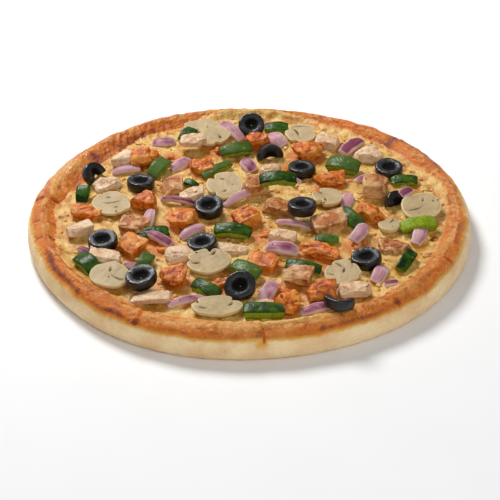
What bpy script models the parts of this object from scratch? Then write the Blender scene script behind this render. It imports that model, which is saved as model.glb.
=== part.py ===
# Pan pizza: a thick round crust with a raised rim, a layer of melted cheese
# and loose toppings that rest on the cheese and on each other.
# Lengths are in millimetres here and become metres when an object is made.

import math

import bmesh
import bpy
from mathutils import Matrix, Vector, noise
from mathutils.bvhtree import BVHTree

MM = 0.001

# Crust and cheese
PIZZA_RADIUS = 127.0
RIM_HEIGHT = 18.0
FLOOR_HEIGHT = 10.5
FLOOR_RADIUS = 114.0
SEGMENTS = 72
CHEESE_THICKNESS = 3.0
CHEESE_EDGE_RISE = 0.3
CHEESE_RINGS = 4
CHEESE_WAVE_HEIGHT = 0.5
CHEESE_WAVE_SCALE = 0.04
GAP = 0.3

# Pinched folds in the rim: angle in degrees and depth
RIM_FOLDS = ((10, 1.6), (174, 2.0), (194, 1.4), (203, 1.6), (242, 2.2), (271, 2.0), (309, 2.2), (332, 1.6))
FOLD_WIDTH = 3.0

# Olive ring
OLIVE_RADIUS = 8.4
OLIVE_HOLE_RADIUS = 3.3
OLIVE_THICKNESS = 6.0
OLIVE_SEGMENTS = 16
OLIVE_EDGE = 1.1

# Mushroom slice
MUSHROOM_THICKNESS = 4.2
MUSHROOM_EDGE = 0.8
MUSHROOM_POINTS = 20
NOTCH_DEPTH = 0.3
NOTCH_ANGLE = 50.0
NOTCH_WIDTH = 13.0
STEM_CUT_DEPTH = 0.1
STEM_CUT_WIDTH = 30.0

# Resting: how far a piece may slide sideways to find a lower place
SLIDE_STEPS = (0.0, 1.5, 3.0)
SLIDE_DIRECTIONS = 8
SLIDE_COST = 0.5
DROP_HEIGHT = 90.0
NEAR_ENOUGH = 20.0

# Olive rings: x, y, lean, direction it leans to, arc that is left of the ring
OLIVES = (
    (2, 91, 34, 270, 360),
    (-92, 35, 46, 335, 220),
    (-64, 26, 3, 90, 360),
    (-23, -5, 12, 250, 360),
    (-81, -39, 6, 270, 360),
    (-26, -44, 4, 200, 360),
    (13, 59, 72, 285, 190),
    (32, 40, 3, 120, 360),
    (84, 38, 8, 250, 360),
    (86, 1, 40, 305, 150),
    (30, -14, 3, 60, 360),
    (-55, -84, 9, 240, 360),
    (-5, -91, 36, 262, 360),
    (63, -61, 9, 200, 360),
    (46, -102, 12, 75, 170),
)

# Mushroom slices: x, y, width of the cap, length along the stem, stem direction, lean, lean direction
MUSHROOMS = (
    (-29, 96, 24, 15, 270, 3, 270),
    (-22, 81, 24, 18, 300, 6, 270),
    (-15, 21, 26, 23, 180, 5, 270),
    (-79, 3, 25, 24, 45, 4, 250),
    (32, 84, 21, 20, 210, 5, 270),
    (45, 7, 21, 18, 200, 4, 90),
    (98, -7, 24, 25, 215, 8, 270),
    (79, -24, 13, 13, 20, 4, 180),
    (-74, -72, 25, 21, 48, 6, 240),
    (-22, -60, 25, 21, 110, 6, 270),
    (-17, -101, 27, 17, 90, 3, 270),
    (49, -73, 21, 21, 140, 8, 220),
)

# Chunks of chicken: x, y, length, width, height, turn, lean, lean direction
SPICED_CHUNKS = (
    (-63, 55, 16, 14, 8, 20, 8, 270),
    (-64, 3, 15, 12, 7, 0, 8, 270),
    (-38, -15, 16, 15, 8, -25, 6, 240),
    (-2, -15, 16, 15, 8, 10, 6, 270),
    (-64, -43, 13, 13, 6, 45, 8, 290),
    (36, 61, 18, 14, 8, 25, 8, 260),
    (48, 28, 18, 12, 6, 0, 5, 270),
    (72, -12, 16, 12, 7, -30, 8, 300),
    (38, -51, 20, 10, 6, -20, 5, 270),
    (-41, -75, 14, 14, 8, 8, 6, 270),
    (7, -60, 16, 12, 6, -20, 5, 250),
    (37, -90, 15, 12, 9, 4, 3, 270),
)
BROWN_CHUNKS = (
    (2, 20, 14, 13, 9, 10, 5, 270),
    (74, 15, 15, 13, 11, 2, 4, 250),
    (16, -5, 16, 12, 8, -20, 8, 280),
    (45, -22, 18, 14, 8, 20, 6, 270),
    (26, -79, 17, 12, 8, -10, 10, 250),
)
PALE_CHUNKS = (
    (-34, 70, 16, 12, 6, 5, 5, 270),
    (-95, -26, 15, 8, 7, 25, 6, 300),
    (-52, -93, 21, 8, 5, 8, 5, 270),
    (53, -91, 17, 9, 7, -3, 4, 270),
)
CHUNK_CUTS = 2
CHUNK_BALL_RADIUS = 0.56
CHUNK_ROUNDING = 0.35
CHUNK_UNEVENNESS = 0.1
CHUNK_NOISE_SCALE = 2.2
# Places at which the same noise is taken for the three axes of a push
NOISE_SHIFTS = (0.0, 31.7, 67.3)

# Bent strips: x, y, length, width, thickness, turn, lean, lean direction, bend in degrees
PEPPERS = (
    (-8, 63, 19, 8, 4.5, 14, 25, 280, 50),
    (-9, -30, 20, 8, 4.5, -8, 20, 270, 50),
    (57, 43, 19, 11, 4.5, -25, 15, 250, 60),
    (17, 13, 21, 8, 4.5, 2, 22, 275, 60),
    (93, -24, 20, 8, 4.5, 15, 20, 280, 60),
    (-2, -69, 16, 9, 4.5, -36, 12, 250, 50),
    (7, -106, 21, 8, 6, 0, 8, 270, 20),
)
ONIONS = (
    (64, 68, 21, 8, 3.0, 50, 15, 320, 60),
    (62, -33, 17, 8, 2.6, 60, 25, 320, 80),
    (18, -48, 18, 8, 2.6, -15, 18, 260, 70),
)
STRIP_LENGTH_CUTS = 6
STRIP_EDGE_THINNING = 0.15


def clear_scene():
    for old in list(bpy.data.objects):
        bpy.data.objects.remove(old, do_unlink=True)


def plain_material(name, colour, roughness):
    material = bpy.data.materials.new(name)
    material.use_nodes = True
    shader = material.node_tree.nodes["Principled BSDF"]
    shader.inputs["Base Color"].default_value = (*colour, 1.0)
    shader.inputs["Roughness"].default_value = roughness
    material.diffuse_color = (*colour, 1.0)
    return material


def make_object(name, shape, material):
    """Turns a shape in millimetres into a node whose origin is the middle of its box."""
    bmesh.ops.recalc_face_normals(shape, faces=shape.faces)
    corners = [v.co for v in shape.verts]
    low = Vector([min(c[axis] for c in corners) for axis in range(3)])
    high = Vector([max(c[axis] for c in corners) for axis in range(3)])
    middle = (low + high) / 2
    bmesh.ops.translate(shape, verts=shape.verts, vec=-middle)
    bmesh.ops.scale(shape, verts=shape.verts, vec=(MM, MM, MM))
    mesh = bpy.data.meshes.new(name)
    shape.to_mesh(mesh)
    shape.free()
    mesh.materials.append(material)
    node = bpy.data.objects.new(name, mesh)
    node.location = middle * MM
    bpy.context.scene.collection.objects.link(node)
    return node


def angle_between(first, second):
    """Smallest difference of two angles in degrees, with its sign."""
    return (first - second + 180.0) % 360.0 - 180.0


def outline_wobble(angle):
    """How far the uneven outline of the crust stands out or in at an angle in radians."""
    two_sided = 0.5 * math.cos(2 * angle + 0.5) + 0.3 * math.cos(6 * angle)
    one_sided = 0.5 * (math.cos(3 * angle) - math.cos(5 * angle))
    return two_sided + one_sided


def rim_dip(angle):
    """Depth of the pinched folds at an angle in radians."""
    degrees = math.degrees(angle)
    return sum(depth * math.exp(-(angle_between(degrees, at) / FOLD_WIDTH) ** 2) for at, depth in RIM_FOLDS)


def crust_profile():
    """Outline of the crust from the middle of its underside, round the rim, to the middle of its floor."""
    return (
        (0.0, 0.0),
        (PIZZA_RADIUS - 2.6, 0.0),
        (PIZZA_RADIUS - 1.2, 1.0),
        (PIZZA_RADIUS - 0.3, 4.0),
        (PIZZA_RADIUS, 7.0),
        (PIZZA_RADIUS - 0.5, 11.0),
        (PIZZA_RADIUS - 2.0, 14.4),
        (PIZZA_RADIUS - 4.6, 16.6),
        (PIZZA_RADIUS - 8.2, RIM_HEIGHT),
        (PIZZA_RADIUS - 10.6, 17.0),
        (FLOOR_RADIUS + 0.6, 14.4),
        (FLOOR_RADIUS, FLOOR_HEIGHT),
        (0.0, FLOOR_HEIGHT),
    )


def turned_shape(profile, place):
    """Turns a profile round the upright axis; place(radius, height, angle) moves each point."""
    shape = bmesh.new()
    rings = []
    for radius, height in profile:
        if radius == 0.0:
            rings.append([shape.verts.new((0.0, 0.0, height))])
            continue
        angles = [2 * math.pi * step / SEGMENTS for step in range(SEGMENTS)]
        rings.append([shape.verts.new(place(radius, height, angle)) for angle in angles])
    for lower, upper in zip(rings, rings[1:]):
        for step in range(SEGMENTS):
            corners = [
                lower[step % len(lower)],
                lower[(step + 1) % len(lower)],
                upper[(step + 1) % len(upper)],
                upper[step % len(upper)],
            ]
            shape.faces.new(list(dict.fromkeys(corners)))
    bmesh.ops.recalc_face_normals(shape, faces=shape.faces)
    return shape


def crust_point(radius, height, angle):
    edge_share = max(0.0, (radius - FLOOR_RADIUS) / (PIZZA_RADIUS - FLOOR_RADIUS))
    radius += outline_wobble(angle) * edge_share
    if height > FLOOR_HEIGHT:
        height -= rim_dip(angle) * (height - FLOOR_HEIGHT) / (RIM_HEIGHT - FLOOR_HEIGHT)
    return Vector((radius * math.cos(angle), radius * math.sin(angle), height))


def cheese_profile():
    """The cheese lies on the crust's floor and rises a little towards the rim."""
    bottom = FLOOR_HEIGHT + GAP
    radius = FLOOR_RADIUS - GAP
    points = [(0.0, bottom), (radius, bottom)]
    for ring in range(CHEESE_RINGS, -1, -1):
        share = ring / CHEESE_RINGS
        rise = CHEESE_EDGE_RISE * share ** 4
        points.append((radius * share, bottom + CHEESE_THICKNESS + rise))
    return points


def cheese_point(radius, height, angle):
    point = Vector((radius * math.cos(angle), radius * math.sin(angle), height))
    inner_share = 1.0 - (radius / FLOOR_RADIUS) ** 6
    if height > FLOOR_HEIGHT + CHEESE_THICKNESS:
        point.z += CHEESE_WAVE_HEIGHT * noise.noise(point * CHEESE_WAVE_SCALE) * inner_share
    return point


def olive_shape(arc):
    """A cut ring of an olive: the profile is turned through the whole arc, or part of it."""
    shape = bmesh.new()
    half = OLIVE_THICKNESS / 2
    inner = OLIVE_HOLE_RADIUS
    outer = OLIVE_RADIUS
    profile = (
        (inner, -half),
        (outer - OLIVE_EDGE, -half),
        (outer, -half + OLIVE_EDGE * 1.6),
        (outer, half - OLIVE_EDGE * 1.6),
        (outer - OLIVE_EDGE, half),
        (inner, half),
    )
    whole = arc == 360
    steps = OLIVE_SEGMENTS if whole else OLIVE_SEGMENTS * arc // 360 + 1
    corners = [shape.verts.new((radius, 0.0, height)) for radius, height in profile]
    start = shape.faces.new(corners)
    bmesh.ops.rotate(shape, verts=shape.verts, cent=(0, 0, 0),
                     matrix=Matrix.Rotation(math.radians(90 - arc / 2), 3, "Z"))
    bmesh.ops.spin(shape, geom=[start, *start.edges, *start.verts], cent=(0, 0, 0), axis=(0, 0, 1),
                   dvec=(0, 0, 0), angle=math.radians(arc), steps=steps, use_duplicate=False)
    if whole:
        ends = [face for face in shape.faces if len(face.verts) == len(profile)]
        bmesh.ops.delete(shape, geom=ends, context="FACES_ONLY")
        bmesh.ops.remove_doubles(shape, verts=shape.verts, dist=0.01)
    bmesh.ops.recalc_face_normals(shape, faces=shape.faces)
    return shape


def mushroom_outline(across, along):
    """Outline of a slice: a round cap, a notch on each side of the stem, and the stem's blunt end.
    The stem points along +X."""
    points = []
    for step in range(MUSHROOM_POINTS):
        angle = 2 * math.pi * step / MUSHROOM_POINTS
        off_stem = abs(angle_between(math.degrees(angle), 0.0))
        notch = NOTCH_DEPTH * math.exp(-((off_stem - NOTCH_ANGLE) / NOTCH_WIDTH) ** 2)
        stem = STEM_CUT_DEPTH * math.exp(-(off_stem / STEM_CUT_WIDTH) ** 2)
        reach = 1.0 - notch - stem
        points.append((reach * math.cos(angle) * along / 2, reach * math.sin(angle) * across / 2))
    return points


def mushroom_shape(across, along):
    shape = bmesh.new()
    half = MUSHROOM_THICKNESS / 2
    layers = ((-half, 0.9), (-half + MUSHROOM_EDGE, 1.0), (half - MUSHROOM_EDGE, 1.0), (half, 0.9))
    outline = mushroom_outline(across, along)
    rings = [[shape.verts.new((x * size, y * size, height)) for x, y in outline] for height, size in layers]
    for lower, upper in zip(rings, rings[1:]):
        for step in range(MUSHROOM_POINTS):
            after = (step + 1) % MUSHROOM_POINTS
            shape.faces.new((lower[step], lower[after], upper[after], upper[step]))
    for ring, height in ((rings[0], -half), (rings[-1], half)):
        middle = shape.verts.new((0.0, 0.0, height))
        for step in range(MUSHROOM_POINTS):
            shape.faces.new((ring[step], ring[(step + 1) % MUSHROOM_POINTS], middle))
    bmesh.ops.recalc_face_normals(shape, faces=shape.faces)
    return shape


def noise_push(point):
    """Uneven shift of a point along all three axes."""
    return Vector([noise.noise(point + Vector((shift, 0.0, 0.0))) for shift in NOISE_SHIFTS])


def chunk_shape(length, width, height, seed):
    """An uneven, slightly rounded block."""
    shape = bmesh.new()
    bmesh.ops.create_cube(shape, size=1.0)
    bmesh.ops.subdivide_edges(shape, edges=shape.edges, cuts=CHUNK_CUTS, use_grid_fill=True)
    offset = Vector((seed * 3.7, seed * 1.9, seed * 5.3))
    for corner in shape.verts:
        ball = corner.co.normalized() * CHUNK_BALL_RADIUS
        point = corner.co.lerp(ball, CHUNK_ROUNDING)
        point += noise_push(point * CHUNK_NOISE_SCALE + offset) * CHUNK_UNEVENNESS
        corner.co = (point.x * length, point.y * width, point.z * height)
    return shape


def strip_shape(length, width, thickness, bend, taper):
    """A flat strip along X, bent down at both ends and drawn in towards them by taper."""
    shape = bmesh.new()
    bmesh.ops.create_cube(shape, size=1.0)
    long_edges = [edge for edge in shape.edges if abs(edge.verts[0].co.x - edge.verts[1].co.x) > 0.5]
    bmesh.ops.subdivide_edges(shape, edges=long_edges, cuts=STRIP_LENGTH_CUTS, use_grid_fill=True)
    radius = length / math.radians(bend)
    for corner in shape.verts:
        share, side, level = corner.co
        turn = share * math.radians(bend)
        narrow = 1.0 - taper * (2 * abs(share)) ** 2
        reach = radius + level * thickness * (1.0 - STRIP_EDGE_THINNING * (2 * abs(side)))
        corner.co = (reach * math.sin(turn), side * width * narrow, reach * math.cos(turn) - radius)
    return shape


def turned_and_leaned(shape, turn, lean, toward):
    """Turns a piece about the upright axis, then leans its top towards a direction."""
    direction = math.radians(toward)
    lean_axis = Vector((-math.sin(direction), math.cos(direction), 0.0))
    matrix = Matrix.Rotation(math.radians(lean), 3, lean_axis) @ Matrix.Rotation(math.radians(turn), 3, "Z")
    bmesh.ops.rotate(shape, verts=shape.verts, cent=(0, 0, 0), matrix=matrix)
    return shape


def sample_points(shape):
    points = [v.co.copy() for v in shape.verts]
    points += [(e.verts[0].co + e.verts[1].co) / 2 for e in shape.edges]
    points += [f.calc_center_median() for f in shape.faces]
    return points


class Pile:
    """Everything placed so far, kept for resting the next piece on it."""

    def __init__(self):
        self.trees = []
        self.points = []

    def add(self, shape):
        self.trees.append(BVHTree.FromBMesh(shape))
        self.points += sample_points(shape)

    def drop(self, points, tree, x, y):
        """How far a piece can fall from the drop height at a place before it touches the pile."""
        falls = []
        for point in points:
            start = Vector((point.x + x, point.y + y, point.z + DROP_HEIGHT))
            for below in self.trees:
                hit = below.ray_cast(start, Vector((0, 0, -1)))
                if hit[0] is not None:
                    falls.append(hit[3])
        for point in self.points:
            start = Vector((point.x - x, point.y - y, point.z - DROP_HEIGHT))
            if start.xy.length > NEAR_ENOUGH:
                continue
            hit = tree.ray_cast(start, Vector((0, 0, 1)))
            if hit[0] is not None:
                falls.append(hit[3])
        return min(falls)

    def rest(self, shape, x, y):
        """Slides a piece a little if that lets it lie lower, and sets it down with the gap below it."""
        points = sample_points(shape)
        tree = BVHTree.FromBMesh(shape)
        best = None
        for step in SLIDE_STEPS:
            for turn in range(SLIDE_DIRECTIONS if step else 1):
                angle = 2 * math.pi * turn / SLIDE_DIRECTIONS
                place = (x + step * math.cos(angle), y + step * math.sin(angle))
                fall = self.drop(points, tree, *place)
                score = fall - step * SLIDE_COST
                if best is None or score > best[0] + 1e-6:
                    best = (score, place, fall)
        place, fall = best[1:]
        height = DROP_HEIGHT - fall + GAP
        bmesh.ops.translate(shape, verts=shape.verts, vec=(*place, height))
        self.add(shape)


def build_base(pile):
    crust = turned_shape(crust_profile(), crust_point)
    cheese = turned_shape(cheese_profile(), cheese_point)
    pile.add(crust)
    pile.add(cheese)
    make_object("pizza_crust", crust, plain_material("baked crust", (0.62, 0.33, 0.12), 0.6))
    make_object("melted_cheese", cheese, plain_material("melted cheese", (0.82, 0.6, 0.2), 0.45))


def build_mushrooms(pile):
    material = plain_material("mushroom", (0.72, 0.66, 0.5), 0.6)
    for number, (x, y, across, along, stem, lean, toward) in enumerate(MUSHROOMS, 1):
        shape = turned_and_leaned(mushroom_shape(across, along), stem, lean, toward)
        pile.rest(shape, x, y)
        make_object(f"mushroom_slice_{number:02d}", shape, material)


def build_chunks(pile, label, rows, material, first_seed):
    for number, (x, y, length, width, height, turn, lean, toward) in enumerate(rows, 1):
        block = chunk_shape(length, width, height, first_seed + number)
        shape = turned_and_leaned(block, turn, lean, toward)
        pile.rest(shape, x, y)
        make_object(f"{label}_{number:02d}", shape, material)


def build_strips(pile, label, rows, material, taper):
    for number, (x, y, length, width, thickness, turn, lean, toward, bend) in enumerate(rows, 1):
        strip = strip_shape(length, width, thickness, bend, taper)
        shape = turned_and_leaned(strip, turn, lean, toward)
        pile.rest(shape, x, y)
        make_object(f"{label}_{number:02d}", shape, material)


def build_olives(pile):
    material = plain_material("black olive", (0.012, 0.011, 0.014), 0.3)
    for number, (x, y, lean, toward, arc) in enumerate(OLIVES, 1):
        turn = 0 if arc == 360 else toward - 270
        shape = turned_and_leaned(olive_shape(arc), turn, lean, toward)
        pile.rest(shape, x, y)
        make_object(f"olive_ring_{number:02d}", shape, material)


def build_pizza():
    clear_scene()
    pile = Pile()
    build_base(pile)
    build_mushrooms(pile)
    spiced = plain_material("spiced chicken", (0.66, 0.2, 0.03), 0.55)
    brown = plain_material("roast chicken", (0.5, 0.22, 0.08), 0.55)
    pale = plain_material("pale chicken", (0.75, 0.52, 0.4), 0.55)
    build_chunks(pile, "spiced_chunk", SPICED_CHUNKS, spiced, 10)
    build_chunks(pile, "brown_chunk", BROWN_CHUNKS, brown, 40)
    build_chunks(pile, "pale_chunk", PALE_CHUNKS, pale, 70)
    green = plain_material("green pepper", (0.03, 0.13, 0.015), 0.35)
    purple = plain_material("red onion", (0.42, 0.16, 0.25), 0.35)
    build_strips(pile, "pepper_piece", PEPPERS, green, 0.12)
    build_strips(pile, "onion_petal", ONIONS, purple, 0.35)
    build_olives(pile)


build_pizza()
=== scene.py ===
import math
import random

import bmesh
import bpy
import numpy as np
from mathutils import Matrix, Vector, noise
from mathutils.bvhtree import BVHTree


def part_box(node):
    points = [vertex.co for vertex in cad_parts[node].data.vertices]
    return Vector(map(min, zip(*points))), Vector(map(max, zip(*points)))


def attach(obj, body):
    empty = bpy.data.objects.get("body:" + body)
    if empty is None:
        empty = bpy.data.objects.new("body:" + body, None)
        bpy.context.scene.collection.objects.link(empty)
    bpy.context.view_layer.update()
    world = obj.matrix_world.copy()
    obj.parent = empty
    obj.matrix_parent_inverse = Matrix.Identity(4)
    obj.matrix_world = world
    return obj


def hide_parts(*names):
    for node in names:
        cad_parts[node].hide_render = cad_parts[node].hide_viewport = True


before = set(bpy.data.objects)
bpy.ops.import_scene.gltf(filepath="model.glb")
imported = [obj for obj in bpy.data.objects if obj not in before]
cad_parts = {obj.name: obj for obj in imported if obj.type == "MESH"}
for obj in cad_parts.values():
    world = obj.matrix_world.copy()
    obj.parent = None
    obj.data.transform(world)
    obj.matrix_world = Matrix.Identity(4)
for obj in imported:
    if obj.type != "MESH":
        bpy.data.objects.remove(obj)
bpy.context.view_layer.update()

# Shapes are modelled in millimetres and scaled to metres when a piece is made
MM = 0.001

# Crust
PIZZA_RADIUS = 127.0
RIM_HEIGHT = 18.0
FLOOR_HEIGHT = 11.5
CRUST_STEPS = 1080
CRUST_SPACING = 0.75
# Pinched folds: angle in degrees, depth, and the side on which the dough drops
RIM_FOLDS = (
    (9.5, 1.3, 1), (147, 2.0, -1), (174, 1.8, 1), (187.5, 1.2, -1), (195, 1.5, 1), (241.5, 2.0, 1),
    (309, 1.5, -1), (331, 1.4, 1), (40, 0.8, 1), (78, 0.7, -1), (222, 0.6, 1), (288, 0.6, -1),
    (352, 0.7, 1),
)
# Browner stretches of the rim: angle in degrees, half width, strength
RIM_BROWNING = (
    (131, 14, 1.3), (118, 10, 0.5), (50, 14, 0.5), (147, 4, 1.3), (100, 9, 0.3), (62, 12, 0.35),
    (38, 12, 0.9), (20, 8, 0.4), (212, 12, 0.8), (235, 9, 0.6), (252, 8, 0.35), (296, 14, 0.5),
    (325, 8, 0.35), (345, 10, 0.5), (184, 6, 0.4),
)
# The crack in the front of the rim, and where the section passes from its outer side to its crest
CRACK_ANGLE = 273.2
CRACK_WIDTH = 0.45
CREST_RADIUS = PIZZA_RADIUS - 8.2

# Cheese
CHEESE_LEVEL = 14.2
CHEESE_HALF = 120.0
CHEESE_CELLS = 300
CHEESE_FLOOR = 10.9
# How far the pieces that lie on the cheese are sunk into it
PIECE_SINK = 1.2
# Radius of the cheese's uneven edge by angle in degrees
CHEESE_EDGE = (
    (0, 114.5), (12, 117), (20, 113), (30, 111.5), (47, 112), (64, 113), (85, 117.5), (97, 118.5), (103, 115),
    (113, 110), (127, 112), (135, 108), (162, 105.5), (170, 109), (177, 113), (190, 110.5), (196, 113),
    (212, 115), (235, 113.5), (250, 113), (264, 116.5), (278, 119), (294, 116), (302, 113), (318, 113.5),
    (333, 112), (347, 112.5),
)
# Browned spots in the cheese: x, y, radius
BROWNED_SPOTS = (
    (103, 31.5, 2.2), (107, 20, 2.8), (103, -33, 3.0), (99.5, -49, 2.6), (99, 41.5, 2.2), (94.5, 50.5, 2.0),
    (111, 1.5, 2.4), (-108, -5.5, 2.0), (-50, -53, 1.6), (-21, -22.5, 2.0), (-11.5, -33.5, 1.4),
    (104.7, 50.8, 2.0), (86.5, -73.2, 1.8), (9.5, -29.5, 2.2), (9, -15, 1.4), (-49, 61.5, 1.5),
    (-45.5, 56, 1.8), (-20, 70, 2.4), (-1, 63, 1.6),
    (48.5, 96, 2.0), (33, 98, 2.2), (-98, 20, 1.8), (-86, -55, 1.8), (10, 108, 1.8), (-104, -42, 2.0),
)

# Olive ring
OLIVE_RADIUS = 8.4
OLIVE_BOWL = 4.4
OLIVE_HOLE = 0.25
OLIVE_HALF_THICKNESS = 3.0
OLIVE_STEPS = 48

# Mushroom slice
SLICE_HALF_THICKNESS = 2.1
SLICE_STEPS = 96

# Scattered pieces
HERB_COUNT = 150
CRUMB_COUNT = 170
SHRED_COUNT = 150


def eased(low, high, value):
    share = min(1.0, max(0.0, (value - low) / (high - low)))
    return share * share * (3.0 - 2.0 * share)


def angle_between(first, second):
    """Smallest difference of two angles in degrees, with its sign."""
    return (first - second + 180.0) % 360.0 - 180.0


def bump_at(distance, width):
    return math.exp(-(distance / width) ** 2)


def rough(point, size, seed=0.0):
    """Smooth noise from -1 to 1 whose lumps are about size across."""
    return noise.noise(Vector(point) / size + Vector((seed * 7.3, seed * 3.1, seed * 5.7)))


def rough_vector(point, size, seed=0.0):
    return Vector([rough(point, size, seed + shift) for shift in (0.0, 31.0, 67.0)])


def box_of(shape):
    corners = [v.co for v in shape.verts]
    low = Vector([min(c[axis] for c in corners) for axis in range(3)])
    high = Vector([max(c[axis] for c in corners) for axis in range(3)])
    return low, high


def turned_and_leaned(shape, turn, lean, toward):
    """Turns a shape about the upright axis, then leans its top towards a direction."""
    direction = math.radians(toward)
    lean_axis = Vector((-math.sin(direction), math.cos(direction), 0.0))
    matrix = Matrix.Rotation(math.radians(lean), 3, lean_axis) @ Matrix.Rotation(math.radians(turn), 3, "Z")
    bmesh.ops.rotate(shape, verts=shape.verts, cent=(0, 0, 0), matrix=matrix)
    return shape


def seat_on_node(shape, node):
    """Moves a shape to the box of the CAD node that it stands for, and stretches it a little to fit."""
    low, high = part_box(node)
    own_low, own_high = box_of(shape)
    middle, own_middle = (low + high) / (2 * MM), (own_low + own_high) / 2
    size, own_size = (high - low) / MM, own_high - own_low
    factor = [min(1.3, max(0.8, size[axis] / own_size[axis])) for axis in range(3)]
    bmesh.ops.translate(shape, verts=shape.verts, vec=-own_middle)
    bmesh.ops.scale(shape, verts=shape.verts, vec=factor)
    bmesh.ops.translate(shape, verts=shape.verts, vec=middle)
    return shape


def seat_on_cheese(shape, x, y, lift):
    """Sets a shape down on the cheese at a place, a little sunk into it."""
    low = box_of(shape)[0]
    level = CHEESE_LEVEL - PIECE_SINK + lift
    bmesh.ops.translate(shape, verts=shape.verts, vec=(x, y, level - low.z))
    return shape


def joined(shapes):
    """Puts several shapes into one."""
    whole = bmesh.new()
    for shape in shapes:
        part = bpy.data.meshes.new("part")
        shape.to_mesh(part)
        shape.free()
        whole.from_mesh(part)
        bpy.data.meshes.remove(part)
    return whole


def add_piece(name, shape, material, slot, *nodes):
    bmesh.ops.scale(shape, verts=shape.verts, vec=(MM, MM, MM))
    mesh = bpy.data.meshes.new(name)
    shape.to_mesh(mesh)
    shape.free()
    mesh.shade_smooth()
    mesh.materials.append(material)
    piece = bpy.data.objects.new(name, mesh)
    bpy.context.scene.collection.objects.link(piece)
    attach(piece, "root")
    if nodes:
        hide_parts(*nodes)


def layer(shape, name):
    """The named value that each point of a shape carries for its material."""
    return shape.verts.layers.float.get(name) or shape.verts.layers.float.new(name)


def grain_layer(shape):
    return shape.verts.layers.float_vector.get("grain") or shape.verts.layers.float_vector.new("grain")


# Materials


def colour(red, green, blue):
    """A colour given as it shows on a screen, 0 to 255, turned into the light values that a shader takes."""
    def light(value):
        value /= 255.0
        return value / 12.92 if value <= 0.04045 else ((value + 0.055) / 1.055) ** 2.4
    return light(red), light(green), light(blue), 1.0


class Finish:
    """A surface material and the pattern nodes that feed it."""

    def __init__(self, name, subsurface=0.0, specular=0.25, coat_roughness=0.2):
        self.material = bpy.data.materials.new(name)
        self.material.use_nodes = True
        self.tree = self.material.node_tree
        self.shader = self.tree.nodes["Principled BSDF"]
        self.set("Coat Roughness", coat_roughness)
        self.set("Specular IOR Level", specular)
        self.set("Subsurface Weight", subsurface)
        self.set("Subsurface Scale", 0.002)
        self.set("Subsurface Radius", (1.0, 0.6, 0.35))
        self.place = self.node("ShaderNodeTexCoord").outputs["Object"]

    def node(self, kind, **values):
        made = self.tree.nodes.new(kind)
        for name, value in values.items():
            setattr(made, name, value)
        return made

    def feed(self, socket, value):
        if isinstance(value, bpy.types.NodeSocket):
            self.tree.links.new(value, socket)
        else:
            socket.default_value = value

    def set(self, name, value):
        self.feed(self.shader.inputs[name], value)

    def value(self, name):
        return self.node("ShaderNodeAttribute", attribute_name=name).outputs["Fac"]

    def vector(self, name):
        return self.node("ShaderNodeAttribute", attribute_name=name).outputs["Vector"]

    def stretched(self, vector, scale):
        made = self.node("ShaderNodeMapping")
        self.feed(made.inputs["Vector"], vector)
        made.inputs["Scale"].default_value = scale
        return made.outputs["Vector"]

    def noise(self, size, detail=2.0, roughness=0.5, distortion=0.0):
        """Noise whose lumps are about size millimetres across."""
        return self.veins(self.place, size * MM, detail, roughness, distortion)

    def veins(self, vector, size, detail=2.0, roughness=0.5, distortion=0.0):
        """Noise on a vector of the piece's own, size in that vector's units."""
        made = self.node("ShaderNodeTexNoise")
        self.feed(made.inputs["Vector"], vector)
        made.inputs["Scale"].default_value = 1.0 / size
        made.inputs["Detail"].default_value = detail
        made.inputs["Roughness"].default_value = roughness
        made.inputs["Distortion"].default_value = distortion
        return made.outputs["Fac"]

    def span(self, value, low, high, to_low=0.0, to_high=1.0):
        made = self.node("ShaderNodeMapRange", interpolation_type="SMOOTHSTEP")
        self.feed(made.inputs["Value"], value)
        limits = {"From Min": low, "From Max": high, "To Min": to_low, "To Max": to_high}
        for name, number in limits.items():
            made.inputs[name].default_value = number
        return made.outputs["Result"]

    def math(self, operation, first, second=0.0, third=0.0):
        made = self.node("ShaderNodeMath", operation=operation)
        for socket, value in zip(made.inputs, (first, second, third)):
            self.feed(socket, value)
        return made.outputs["Value"]

    def swayed(self, value, pattern, amount):
        """A value moved up and down by a pattern, by amount at the most."""
        return self.math("ADD", value, self.math("MULTIPLY_ADD", pattern, 2 * amount, -amount))

    def mixed(self, share, first, second):
        made = self.node("ShaderNodeMix", data_type="RGBA")
        for socket, value in zip((made.inputs[0], made.inputs[6], made.inputs[7]), (share, first, second)):
            self.feed(socket, value)
        return made.outputs[2]

    def bump(self, height, depth, before=None):
        """Bump of a height pattern, depth in millimetres."""
        made = self.node("ShaderNodeBump")
        made.inputs["Distance"].default_value = depth * MM
        self.feed(made.inputs["Height"], height)
        if before is not None:
            self.feed(made.inputs["Normal"], before)
        return made.outputs["Normal"]

    def done(self, base, normal, roughness, coat=0.0):
        self.set("Base Color", base)
        self.set("Normal", normal)
        self.set("Coat Normal", normal)
        self.set("Roughness", roughness)
        self.set("Coat Weight", coat)
        return self.material


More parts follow.
